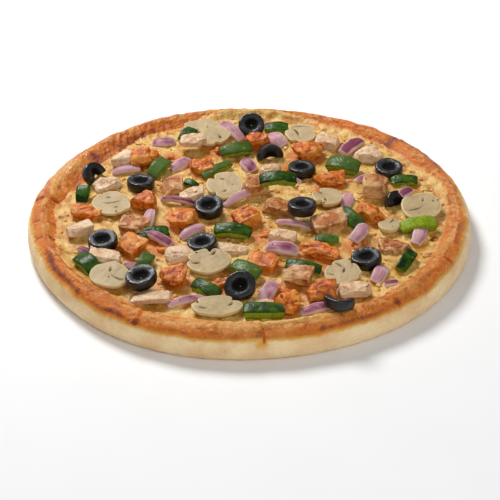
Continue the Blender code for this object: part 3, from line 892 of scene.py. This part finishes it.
def strip_shape(length, width, thickness, bend, taper, seed, arch, flesh_up):
    """A strip along X, bent down at both ends, arched across, and drawn in towards its ends by taper."""
    shape = bmesh.new()
    bmesh.ops.create_cube(shape, size=1.0)
    for axis, cuts in ((0, 22), (1, 9), (2, 5)):
        along = [e for e in shape.edges if abs(e.verts[0].co[axis] - e.verts[1].co[axis]) > 0.5]
        bmesh.ops.subdivide_edges(shape, edges=along, cuts=cuts, use_grid_fill=True)
    skin, rind, grain = layer(shape, "skin"), layer(shape, "rind"), grain_layer(shape)
    radius = length / math.radians(bend)
    start = Vector((seed * 31.0, seed * 17.0, 0))
    # The line between skin and flesh is straighter on a piece that shows more flesh
    rough_line = 0.2 if flesh_up == 0.0 else 0.07
    for corner in shape.verts:
        share, side, level = corner.co
        waver = rough_line * rough((share * 6, side * 3, seed), 1.0)
        corner[skin] = eased(0.3, 0.48, level - flesh_up + waver)
        corner[rind] = eased(0.1, 0.5, level) * eased(0.5, 0.34, abs(side)) * eased(0.5, 0.4, abs(share))
        corner[grain] = Vector((share * length, side * width, level * thickness)) + start
        worn_side = max(0.0, (abs(side) - 0.36) / 0.14) ** 2 * 0.1
        worn_end = max(0.0, (abs(share) - 0.44) / 0.06) ** 2 * 0.06
        level *= 1.0 - (worn_side + worn_end)
        side *= 1.0 - 0.06 * (2 * abs(level)) ** 3
        share *= 1.0 + 0.05 * rough((side * 3, level, seed), 1.0)
        turn = share * math.radians(bend)
        across = side * width * (1.0 - taper * (2 * abs(share)) ** 2)
        sway = rough_vector((share * length, across, level * 2), 6.0, seed)
        reach = radius + level * thickness - arch * across * across / width
        corner.co = (reach * math.sin(turn) + 0.5 * sway.x, across + 0.7 * sway.y,
                     reach * math.cos(turn) - radius + 0.45 * sway.z)
    return shape


# Each piece's one value: on a pepper the share of painted sheen, on an onion how purple it is
def with_tint_and_sheen(shape, amount):
    tint_and_sheen = layer(shape, "tint_and_sheen")
    for corner in shape.verts:
        corner[tint_and_sheen] = amount
    return shape


# Toppings that stand for CAD nodes, in the order of the nodes' numbers

# Olive rings: turn, lean, direction it leans to, arc that is left of the ring
OLIVES = (
    (0, 34, 270, 360), (65, 46, 335, 220), (0, 3, 90, 360), (0, 12, 250, 360), (0, 6, 270, 360),
    (0, 4, 200, 360), (15, 72, 285, 190), (0, 3, 120, 360), (0, 8, 250, 360), (35, 40, 305, 150),
    (0, 3, 60, 360), (0, 9, 240, 360), (0, 36, 262, 360), (0, 9, 200, 360), (165, 12, 75, 170),
)

# Mushroom slices: width of the cap, length along the stem, direction of the stem, lean, lean direction,
# dents of the outline, gill gaps
MUSHROOMS = (
    (24, 15, 270, 3, 270, (), ((-3, -6, 4, 1.6, 200),)),
    (24, 18, 300, 6, 270, ((291, 0.25, 8), (165, 0.15, 12)), ((5, -1, 4, 1.9, 110), (-7, 2, 3, 1.0, 70))),
    (26, 23, 180, 5, 270, ((133, 0.32, 9), (236, 0.25, 9)),
     ((-1.2, 5.8, 3.5, 1.3, 150), (0.5, -6.5, 3, 1.3, 20))),
    (25, 24, 45, 4, 250, ((52, 0.16, 14), (4, 0.12, 12), (331, -0.1, 9)),
     ((-2.6, 5.3, 2.6, 0.9, 100), (3.6, -5.5, 2.4, 0.9, 0), (0, -1, 12, 0.5, 5))),
    (21, 20, 210, 5, 270, ((150, 0.2, 10), (250, 0.2, 10)),
     ((-2.6, 1.3, 11, 1.6, 115), (1, 7, 12, 0.8, 175))),
    (21, 18, 200, 4, 90, ((125, 0.35, 9), (237, 0.35, 10)),
     ((-4.3, 4.8, 7, 1.9, 125), (-1.2, -4.6, 4, 1.4, 95))),
    (24, 25, 215, 8, 270, ((110, 0.1, 20),),
     ((1.5, 4.6, 3.4, 0.9, 75), (-5.0, -4.0, 11, 0.7, 15))),
    (13, 13, 20, 4, 180, ((20, 0.15, 20), (130, 0.25, 25)), ((2, 3, 5, 0.7, 60),)),
    (25, 21, 48, 6, 240, ((80, -0.08, 9), (115, 0.06, 12)),
     ((0.0, 4.2, 4.2, 1.1, 88), (5.0, -5.0, 9, 0.7, 325))),
    (25, 21, 110, 6, 270, ((86, 0.34, 8), (180, 0.22, 7)),
     ((2.9, 6.0, 4.6, 1.8, 55), (-6.6, -2.7, 5, 1.2, 0))),
    (27, 17, 90, 3, 270, ((32, 0.26, 7), (163, 0.18, 7)),
     ((-7.6, -2.4, 5, 0.9, 345), (7.0, 0.8, 4, 1.4, 50))),
    (21, 21, 140, 8, 220, ((132, 0.2, 9), (48, 0.14, 9), (300, 0.08, 12), (350, -0.08, 8)),
     ((-1.4, 6.0, 6, 0.9, 130), (1.2, 1.0, 5, 1.2, 80), (6, 6, 6, 0.5, 100), (-6, -2, 5, 0.5, 150))),
)

# Chunks of chicken: length, width, height, turn, lean, lean direction, roundness, torn surface
SPICED_CHUNKS = (
    (16, 14, 8, 20, 8, 270, 0.2, 1.0), (15, 12, 7, 0, 8, 270, 0.0, 0.5), (16, 15, 8, -25, 6, 240, 0.2, 1.0),
    (16, 15, 8, 10, 6, 270, 0.3, 1.0), (13, 13, 6, 45, 8, 290, 0.0, 0.4), (18, 14, 8, 25, 8, 260, 0.3, 1.0),
    (18, 12, 6, 0, 5, 270, 0.25, 0.8), (16, 12, 7, -30, 8, 300, 0.3, 1.0), (20, 10, 6, -20, 5, 270, 0.3, 0.9),
    (14, 14, 8, 8, 6, 270, 0.15, 1.0), (16, 12, 6, -20, 5, 250, 0.1, 0.3), (15, 12, 9, 4, 3, 270, 0.05, 0.5),
)
BROWN_CHUNKS = (
    (14, 13, 9, 10, 5, 270, 0.15, 0.5), (15, 13, 11, 2, 4, 250, 0.1, 0.3),
    (16, 12, 8, -20, 8, 280, 0.05, 0.3), (18, 14, 8, 20, 6, 270, 0.0, 0.3),
    (17, 12, 8, -10, 10, 250, 0.0, 0.3),
)
PALE_CHUNKS = (
    (16, 12, 6, 5, 5, 270, 0.3, 0.5), (15, 8, 7, 25, 6, 300, 0.0, 0.2), (21, 8, 5, 8, 5, 270, 0.0, 0.1),
    (17, 9, 7, -3, 4, 270, 0.0, 0.15),
)

# Bent strips: length, width, thickness, turn, lean, lean direction, bend, tint and sheen (pepper: painted
# sheen; onion: purple tint), how far the flesh shows
PEPPERS = (
    (19, 8, 4.5, 14, 25, 280, 50, 0.5, 0.0), (20, 8, 4.5, -8, 20, 270, 50, 0.1, 0.0),
    (19, 11, 4.5, -25, 15, 250, 60, 0.5, 0.05), (21, 8, 4.5, 2, 22, 275, 60, 0.0, 0.0),
    (20, 8, 4.5, 15, 20, 280, 60, 0.9, 0.22), (16, 9, 4.5, -36, 12, 250, 50, 0.6, 0.0),
    (21, 8, 6, 0, 8, 270, 20, 0.1, 0.02),
)
ONIONS = (
    (21, 8, 3.0, 50, 15, 320, 60, 1.0, 0.0), (17, 8, 2.6, 60, 25, 320, 80, 0.1, 0.0),
    (18, 8, 2.6, -15, 18, 260, 70, 0.6, 0.0),
)

# Toppings that stand for no CAD node: x, y and lift above the cheese, then as above
MORE_SPICED = (
    (-28, 46, 0, 15, 13, 7, 10, 5, 270, 0.3, 1.0), (-94, -5, 0, 17, 10, 6, -12, 4, 270, 0.3, 0.8),
    (6, 75, 0, 13, 13, 9, 20, 5, 270, 0.3, 1.0), (19, -100, 0, 14, 13, 8, 15, 5, 270, 0.1, 0.7),
    (-13, -77, 0, 12, 5, 4, 10, 0, 0, 0.5, 0.8), (9, -29, 0, 6, 4, 3, 20, 0, 0, 0.4, 0.8),
    (19, -86, 0, 6, 4, 3, -20, 0, 0, 0.4, 0.8), (-53, -31, 0, 6, 5, 3, 0, 0, 0, 0.4, 0.8),
    (-47, -43, 0, 8, 4, 3, 10, 0, 0, 0.4, 0.8), (60, -42, 0, 6, 4, 2.5, 30, 0, 0, 0.4, 0.8),
    (-49, 60, 0, 6, 4, 3, 30, 0, 0, 0.4, 0.8), (-18, 68, 0, 6, 5, 3.5, 0, 0, 0, 0.4, 0.8),
    (-72, 68, 0, 7, 5, 3, 30, 0, 0, 0.4, 0.8), (24, 44, 0, 5, 4, 3, 30, 0, 0, 0.4, 0.8),
)
MORE_BROWN = (
    (-46, 22, 0, 14, 13, 8, 8, 5, 270, 0.05, 0.4), (-66, -22, 0, 18, 13, 8, -15, 4, 270, 0.15, 0.4),
    (79, -44, -1, 18, 12, 6, -10, 4, 270, 0.3, 0.9),
)
MORE_PALE = (
    (-77, 54, 0, 13, 11, 8, 0, 4, 270, 0.2, 0.5), (-85, 27, 0, 16, 10, 6, 25, 4, 270, 0.25, 0.7),
    (-33, 12, 0, 14, 11, 7, 10, 4, 270, 0.2, 0.7), (49, 75, 0, 15, 12, 7, -20, 6, 270, 0.0, 0.2),
    (74, 57, 0, 17, 14, 8, 20, 5, 270, 0.3, 0.8), (19, -34, 0, 15, 9, 7, -15, 5, 270, 0.4, 0.2),
    (-10, -45, 0, 17, 8, 5, 0, 4, 270, 0.2, 0.7), (-38, -51, 0, 16, 11, 7, 5, 4, 270, 0.75, 0.1),
    (-79, -52, 0, 18, 11, 6, -15, 5, 270, 0.2, 0.7), (13, 40, 0, 13, 11, 8, 0, 0, 0, 0.7, 0.1),
    (6, -97, 0, 14, 6, 4, 0, 0, 0, 0.4, 0.4),
)
MORE_PEPPERS = (
    (-38, 85, 0, 12, 8, 4.5, 60, 15, 270, 40, 0.0, 0.0), (-97, 13, 0, 10, 8, 4.5, 85, 30, 270, 30, 0.0, 0.0),
    (-54, 43, 0, 16, 9, 4.0, 60, 20, 290, 60, 0.7, 0.0), (-19, 42, 0, 21, 5, 3.5, 40, 20, 300, 50, 0.7, 0.0),
    (-34, 26, 0, 8, 5, 4.0, -30, 15, 270, 40, 0.0, 0.0),
    (-54, -29, 0, 17, 8, 4.0, 10, 15, 270, 40, 0.0, 0.03),
    (18, 95, 0, 14, 8, 4.5, 0, 15, 270, 30, 0.0, 0.0), (92, 27, 0, 15, 7, 4.0, 3, 15, 270, 50, 0.2, 0.0),
    (57, -17, 0, 18, 9, 4.0, -55, 20, 230, 60, 0.2, 0.0), (43, -37, 0, 12, 6, 4.0, -5, 15, 270, 40, 0.4, 0.0),
    (-88, -60, 0, 16, 10, 4.0, -50, 15, 250, 70, 0.1, 0.0),
    (-57, -60, 0, 13, 8, 4.0, 70, 20, 300, 60, 0.5, 0.0),
    (-23, -85, 0, 17, 8, 4.0, -40, 20, 240, 50, 0.2, 0.0),
    (85, -60, 0, 17, 7, 4.0, 63, 20, 320, 40, 0.0, 0.0),
    (29, -65, 0, 19, 7, 4.0, -15, 15, 270, 50, 0.1, 0.0),
)
MORE_ONIONS = (
    (-11, 90, 0, 24, 8, 2.4, -55, 15, 240, 70, 0.4, 0.0), (-53, 79, 0, 14, 8, 2.4, 5, 15, 270, 60, 0.5, 0.0),
    (-74, 44, 0, 17, 5, 2.4, 10, 15, 270, 50, 0.2, 0.0), (-41, 50, 0, 15, 7, 2.4, 45, 15, 300, 60, 0.3, 0.0),
    (0, 47, 0, 12, 9, 2.4, -60, 15, 250, 60, 0.6, 0.0), (-41, 6, 0, 22, 3.5, 2.6, -12, 20, 270, 70, 0.8, 0.0),
    (-5, 9, 0, 24, 4.5, 2.6, 40, 20, 300, 70, 0.1, 0.0), (-57, -12, 0, 13, 7, 2.4, 80, 15, 270, 60, 0.1, 0.0),
    (-32, -27, 0, 17, 6, 2.6, 45, 15, 300, 70, 0.2, 0.0),
    (-51, -34, 0, 20, 6, 2.6, -38, 15, 250, 70, 0.6, 0.0),
    (17, 79, 0, 16, 10, 2.6, -50, 15, 240, 90, 0.1, 0.0), (22, 30, 0, 19, 4, 2.4, -10, 15, 270, 60, 0.3, 0.0),
    (69, 32, 0, 12, 5, 2.4, 20, 15, 270, 50, 0.7, 0.0), (91, 5, 6, 8, 6, 2.4, 30, 15, 270, 50, 0.9, 0.0),
    (57, 6, 0, 12, 8, 2.4, 80, 10, 270, 60, 0.2, 0.0), (25, -20, 0, 20, 4, 2.4, -12, 15, 270, 60, 0.3, 0.0),
    (95, -34, 0, 16, 8, 2.4, 70, 20, 320, 60, 0.1, 0.0),
    (-33, -94, 0, 21, 4.5, 2.4, 20, 15, 290, 60, 0.4, 0.0),
    (-64, -59, 0, 9, 6, 2.4, -20, 0, 0, 40, 0.6, 0.0), (70, -71, 0, 15, 8, 2.4, 65, 15, 320, 70, 0.1, 0.0),
    (75, -78, 0, 7, 4, 2.4, 10, 0, 0, 30, 0.9, 0.0), (10, -88, 0, 18, 8, 2.4, 65, 15, 300, 70, 0.3, 0.0),
    (34, -102, 0, 17, 6, 2.4, 20, 10, 270, 50, 0.6, 0.0), (-91, -43, 0, 9, 5, 2.4, -30, 0, 0, 40, 0.8, 0.0),
)


def node_names(label, rows):
    return [f"{label}_{number:02d}" for number in range(1, len(rows) + 1)]


def olives():
    for node, (seed, (turn, lean, toward, arc)) in zip(node_names("olive_ring", OLIVES), enumerate(OLIVES)):
        yield node, seat_on_node(turned_and_leaned(olive_shape(arc, seed), turn, lean, toward), node)


def mushrooms():
    for node, (seed, row) in zip(node_names("mushroom_slice", MUSHROOMS), enumerate(MUSHROOMS)):
        across, along, stem, lean, toward, dents, gills = row
        shape = mushroom_shape(across, along, stem, seed + 20, dents, gills)
        yield node, seat_on_node(turned_and_leaned(shape, 0, lean, toward), node)


def chunk(row, seed, season_level):
    length, width, height, turn, lean, toward, roundness, torn = row
    shape = chunk_shape(length, width, height, seed, roundness, torn, season_level)
    return turned_and_leaned(shape, turn, lean, toward)


def chunks(label, rows, first_seed, season_level):
    for node, (seed, row) in zip(node_names(label, rows), enumerate(rows, first_seed)):
        yield node, seat_on_node(chunk(row, seed, season_level), node)


def more_chunks(rows, first_seed, season_level):
    shapes = []
    for seed, (x, y, lift, *row) in enumerate(rows, first_seed):
        shapes.append(seat_on_cheese(chunk(row, seed, season_level), x, y, lift))
    return joined(shapes)


def strip(row, seed, taper, arch):
    length, width, thickness, turn, lean, toward, bend, tint_and_sheen, flesh_up = row
    shape = with_tint_and_sheen(strip_shape(length, width, thickness, bend, taper, seed, arch, flesh_up), tint_and_sheen)
    return turned_and_leaned(shape, turn, lean, toward)


def strips(label, rows, first_seed, taper, arch):
    for node, (seed, row) in zip(node_names(label, rows), enumerate(rows, first_seed)):
        yield node, seat_on_node(strip(row, seed, taper, arch), node)


def more_strips(rows, first_seed, taper, arch):
    shapes = []
    for seed, (x, y, lift, *row) in enumerate(rows, first_seed):
        shapes.append(seat_on_cheese(strip(row, seed, taper, arch), x, y, lift))
    return joined(shapes)


def polygons_of(shapes):
    points, faces = [], []
    for shape in shapes:
        start = len(points)
        shape.verts.index_update()
        points += [v.co.copy() for v in shape.verts]
        faces += [[start + v.index for v in face.verts] for face in shape.faces]
    return points, faces


def stain_places():
    """Where orange oil has run from the spiced chicken: x, y, radius."""
    places = []
    for node in node_names("spiced_chunk", SPICED_CHUNKS):
        low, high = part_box(node)
        middle = (low + high) / (2 * MM)
        places.append((middle.x, middle.y, max(high.x - low.x, high.y - low.y) / MM * 0.72))
    places += [(row[0], row[1], 11.0) for row in MORE_SPICED]
    return places


def herb_shape(topping_tree, cheese_tree):
    """Small dry leaf flecks lying on the cheese and the toppings."""
    dice = np.random.default_rng(7)
    shapes = []
    for _ in range(HERB_COUNT):
        angle, radius = dice.uniform(0, 2 * math.pi), 112.0 * math.sqrt(dice.uniform(0, 1))
        x, y = radius * math.cos(angle), radius * math.sin(angle)
        start = Vector((x, y, 60))
        hits = [tree.ray_cast(start, Vector((0, 0, -1)))[0] for tree in (topping_tree, cheese_tree)]
        heights = [hit.z for hit in hits if hit]
        size = dice.uniform(0.35, 0.8)
        shape = bmesh.new()
        bmesh.ops.create_icosphere(shape, subdivisions=1, radius=size)
        bmesh.ops.scale(shape, verts=shape.verts, vec=(dice.uniform(0.7, 1.5), 0.7, 0.3))
        bmesh.ops.rotate(shape, verts=shape.verts, cent=(0, 0, 0),
                         matrix=Matrix.Rotation(dice.uniform(0, math.pi), 3, "Z"))
        bmesh.ops.translate(shape, verts=shape.verts, vec=(x, y, max(heights) + 0.05))
        shapes.append(shape)
    return joined(shapes)


def crumb_shape(seed, count, sizes, topping_tree, cheese_tree):
    """Crumbs and short shreds, scattered over the cheese between the toppings."""
    picker = random.Random(seed)
    down = Vector((0, 0, -1))
    shapes = []
    while len(shapes) < count:
        angle, reach = picker.uniform(0.0, 2 * math.pi), 110.0 * math.sqrt(picker.random())
        above = Vector((reach * math.cos(angle), reach * math.sin(angle), 60.0))
        if topping_tree.ray_cast(above, down)[0] is not None:
            continue
        ground = cheese_tree.ray_cast(above, down)[0]
        crumb = bmesh.new()
        bmesh.ops.create_uvsphere(crumb, u_segments=8, v_segments=6, radius=0.5)
        season, high = layer(crumb, "season"), layer(crumb, "high")
        length = picker.uniform(*sizes)
        size = Vector((length, length * picker.uniform(0.4, 0.8), length * picker.uniform(0.3, 0.5)))
        place = Vector((ground.x, ground.y, ground.z + 0.15 * size.z))
        turn = Matrix.Rotation(picker.uniform(0.0, math.pi), 3, "Z")
        for corner in crumb.verts:
            corner[season], corner[high] = 0.5 + corner.co.z, 0.9
            swollen = corner.co * (1.0 + 0.5 * rough(corner.co * 3.0 + place, 0.9))
            corner.co = turn @ Vector((swollen.x * size.x, swollen.y * size.y, swollen.z * size.z)) + place
        shapes.append(crumb)
    return joined(shapes)


def build_pizza():
    spiced = chicken_finish("spiced_chicken", (220, 110, 12), (170, 56, 2), (220, 130, 30),
                            (238, 168, 74), 0.3)
    brown = chicken_finish("roast_chicken", (184, 100, 36), (144, 66, 18), (208, 142, 66),
                           (242, 206, 148), 0.25)
    pale = chicken_finish("pale_chicken", (222, 180, 138), (204, 144, 96), (228, 192, 150),
                          (244, 220, 188), 0.25)
    mushroom, olive = mushroom_finish(), olive_finish()
    pepper, onion = pepper_finish(), onion_finish()

    rows = []
    rows += [(*pair, mushroom, "mushroom") for pair in mushrooms()]
    rows += [(*pair, spiced, "spiced_chicken") for pair in chunks("spiced_chunk", SPICED_CHUNKS, 10, 0.7)]
    rows += [(*pair, brown, "roast_chicken") for pair in chunks("brown_chunk", BROWN_CHUNKS, 40, 0.45)]
    rows += [(*pair, pale, "pale_chicken") for pair in chunks("pale_chunk", PALE_CHUNKS, 70, 0.25)]
    rows += [(*pair, pepper, "pepper") for pair in strips("pepper_piece", PEPPERS, 100, 0.12, 0.1)]
    rows += [(*pair, onion, "onion") for pair in strips("onion_petal", ONIONS, 130, 0.3, 0.5)]
    rows += [(*pair, olive, "olive") for pair in olives()]
    spare = [
        ("more_spiced_chicken", more_chunks(MORE_SPICED, 160, 0.7), spiced, "spiced_chicken"),
        ("more_roast_chicken", more_chunks(MORE_BROWN, 180, 0.45), brown, "roast_chicken"),
        ("more_pale_chicken", more_chunks(MORE_PALE, 190, 0.25), pale, "pale_chicken"),
        ("more_peppers", more_strips(MORE_PEPPERS, 210, 0.12, 0.1), pepper, "pepper"),
        ("more_onions", more_strips(MORE_ONIONS, 240, 0.3, 0.5), onion, "onion"),
    ]

    crust = crust_shape()
    crust_tree = BVHTree.FromBMesh(crust)
    topping_tree = BVHTree.FromPolygons(*polygons_of([row[1] for row in rows + spare]))
    cheese = cheese_shape(crust_tree, topping_tree, stain_places())
    cheese_tree = BVHTree.FromBMesh(cheese)
    herbs = herb_shape(topping_tree, cheese_tree)
    crumbs = crumb_shape(5, CRUMB_COUNT, (1.6, 3.6), topping_tree, cheese_tree)
    shreds = crumb_shape(6, SHRED_COUNT, (2.0, 4.5), topping_tree, cheese_tree)
    add_piece("crust", crust, crust_finish(), "crust", "pizza_crust")
    melted = cheese_finish()
    add_piece("cheese", cheese, melted, "cheese", "melted_cheese")
    add_piece("cheese_shreds", shreds, melted, "cheese")
    add_piece("spiced_crumbs", crumbs, spiced, "spiced_chicken")
    for node, shape, material, slot in rows:
        add_piece(f"{node}_look", shape, material, slot, node)
    for name, shape, material, slot in spare:
        add_piece(name, shape, material, slot)
    add_piece("herb_flecks", herbs, herb_finish(), "pepper")


# Stage


def add_floor():
    shape = bmesh.new()
    bmesh.ops.create_grid(shape, x_segments=1, y_segments=1, size=3.0)
    mesh = bpy.data.meshes.new("floor")
    shape.to_mesh(mesh)
    shape.free()
    mesh.materials.append(floor_finish())
    floor = bpy.data.objects.new("floor", mesh)
    floor.location.z = -0.0002
    bpy.context.scene.collection.objects.link(floor)


def add_light(name, place, size, power):
    """A round soft light that points at the middle of the floor."""
    light = bpy.data.lights.new(name, "AREA")
    light.shape = "DISK"
    light.size = size
    light.energy = power
    lamp = bpy.data.objects.new(name, light)
    lamp.location = place
    lamp.rotation_euler = (-lamp.location).to_track_quat("-Z", "Y").to_euler()
    bpy.context.scene.collection.objects.link(lamp)


def add_lights():
    add_light("key", (-0.35, 0.6, 0.85), 0.4, 11.5)
    add_light("fill", (0.3, -0.9, 0.7), 1.2, 4.5)
    world = bpy.data.worlds.new("studio")
    bpy.context.scene.world = world
    world.use_nodes = True
    background = world.node_tree.nodes["Background"]
    background.inputs["Color"].default_value = (1.0, 1.0, 1.0, 1.0)
    background.inputs["Strength"].default_value = 0.24


# Camera: distance and aim in millimetres, angles in degrees, focal length in pixels of a 500 pixel picture
CAMERA_DISTANCE = 800.0
CAMERA_AIM = (0.26, -21.3, 0.0)
CAMERA_ELEVATION = 32.96
CAMERA_ROLL = -0.63
FOCAL_PIXELS = 1401.5
PICTURE_PIXELS = 500.0


def add_camera():
    data = bpy.data.cameras.new("camera")
    data.sensor_width = 36.0
    data.lens = FOCAL_PIXELS / PICTURE_PIXELS * data.sensor_width
    data.clip_start = 0.01
    camera = bpy.data.objects.new("camera", data)
    elevation = math.radians(CAMERA_ELEVATION)
    back = Vector((0.0, -math.cos(elevation), math.sin(elevation)))
    aim = Vector(CAMERA_AIM) * MM
    facing = back.to_track_quat("Z", "Y").to_matrix() @ Matrix.Rotation(math.radians(CAMERA_ROLL), 3, "Z")
    camera.matrix_world = Matrix.Translation(aim + back * CAMERA_DISTANCE * MM) @ facing.to_4x4()
    bpy.context.scene.collection.objects.link(camera)
    bpy.context.scene.camera = camera


def set_colours():
    settings = bpy.context.scene.view_settings
    settings.view_transform = "Standard"
    settings.look = "None"


add_camera()
add_floor()
add_lights()
set_colours()
build_pizza()
